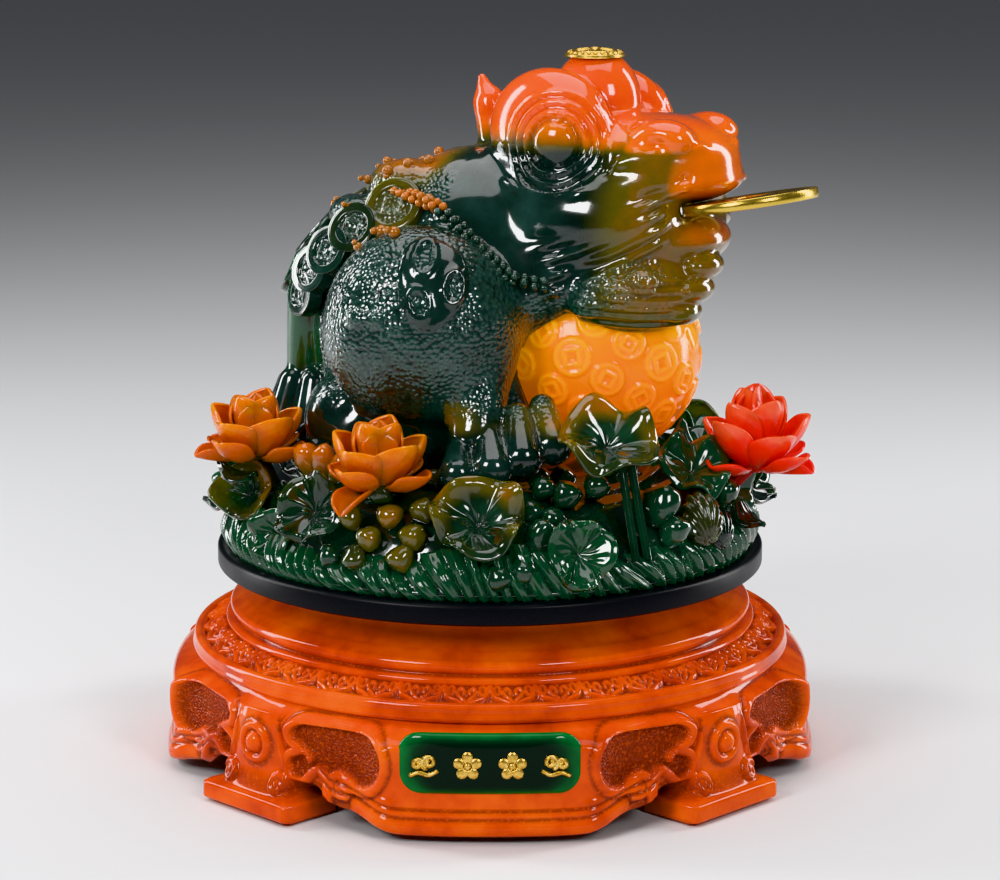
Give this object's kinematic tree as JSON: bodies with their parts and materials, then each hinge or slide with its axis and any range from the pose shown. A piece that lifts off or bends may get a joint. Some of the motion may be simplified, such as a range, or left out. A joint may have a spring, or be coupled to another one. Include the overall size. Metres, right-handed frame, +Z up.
{
  "type": "jade figurine",
  "caption": "Jade-look resin money toad over an amber ball on a lotus-pond mound, with a brass coin that pulls out of its mouth, on a turntable over a lobed red lacquer base with legs",
  "frame": {"origin": "the middle of the footprint, on the surface that the ornament stands on, on the turntable's axis", "axes": "+Z up, along the turntable's axis and the greatest dimension; the front plaque faces -Y; the toad's head looks between +X and -Y"},
  "size_m": [0.3, 0.3, 0.3242],
  "materials": {
    "red_lacquer": "orange-red lacquer over cast resin, with dark brown antiquing in the recesses",
    "green_plaque": "deep green glassy resin with gilt ornaments",
    "felt": "pressed felt",
    "zinc_steel": "zinc-plated steel",
    "nylon": "moulded nylon",
    "black_paint": "satin black paint on turned board",
    "jade_resin": "polished translucent resin, dark jade green",
    "amber_resin": "polished translucent amber resin",
    "orange_resin": "polished translucent resin, orange fading to olive",
    "red_resin": "polished translucent resin, red with pale petal tips",
    "gilt": "gold leaf over a pressed metal disc",
    "coin_brass": "polished brass"
  },
  "bodies": {
    "base": {"base_casing": "red_lacquer", "front_plaque": "green_plaque", "foot_pad_1": "felt", "foot_pad_2": "felt", "foot_pad_3": "felt", "foot_pad_4": "felt", "bearing_lower_plate": "zinc_steel", "lower_screw_1": "zinc_steel", "lower_screw_2": "zinc_steel", "lower_screw_3": "zinc_steel", "lower_screw_4": "zinc_steel"},
    "ball_cage": {"bearing_cage": "nylon", "bearing_ball_1": "zinc_steel", "bearing_ball_2": "zinc_steel", "bearing_ball_3": "zinc_steel", "bearing_ball_4": "zinc_steel", "bearing_ball_5": "zinc_steel", "bearing_ball_6": "zinc_steel", "bearing_ball_7": "zinc_steel", "bearing_ball_8": "zinc_steel", "bearing_ball_9": "zinc_steel", "bearing_ball_10": "zinc_steel", "bearing_ball_11": "zinc_steel", "bearing_ball_12": "zinc_steel"},
    "turntable": {"turntable_disc": "black_paint", "bearing_upper_plate": "zinc_steel", "upper_screw_1": "zinc_steel", "upper_screw_2": "zinc_steel", "upper_screw_3": "zinc_steel", "upper_screw_4": "zinc_steel", "pond_mound": "jade_resin", "toad_body": "jade_resin", "amber_pearl": "amber_resin", "head_medallion": "gilt", "lotus_left": "orange_resin", "lotus_front": "orange_resin", "lotus_right": "red_resin"},
    "coin": {"mouth_coin": "coin_brass"}
  },
  "joints": [
    {"name": "turntable_spin", "type": "hinge", "parent": "base", "child": "turntable", "pos_m": [0, 0, 0.08475], "axis": [0, 0, 1], "continuous": true},
    {"name": "cage_roll", "type": "hinge", "parent": "base", "child": "ball_cage", "pos_m": [0, 0, 0.08475], "axis": [0, 0, 1], "continuous": true},
    {"name": "coin_pull", "type": "slide", "parent": "turntable", "child": "coin", "axis": [0.8049, -0.5636, 0.1857], "range_m": [0, 0.06]}
  ],
  "couplings": [
    {"joint": "cage_roll", "follows": "turntable_spin", "ratio": 0.5}
  ]
}
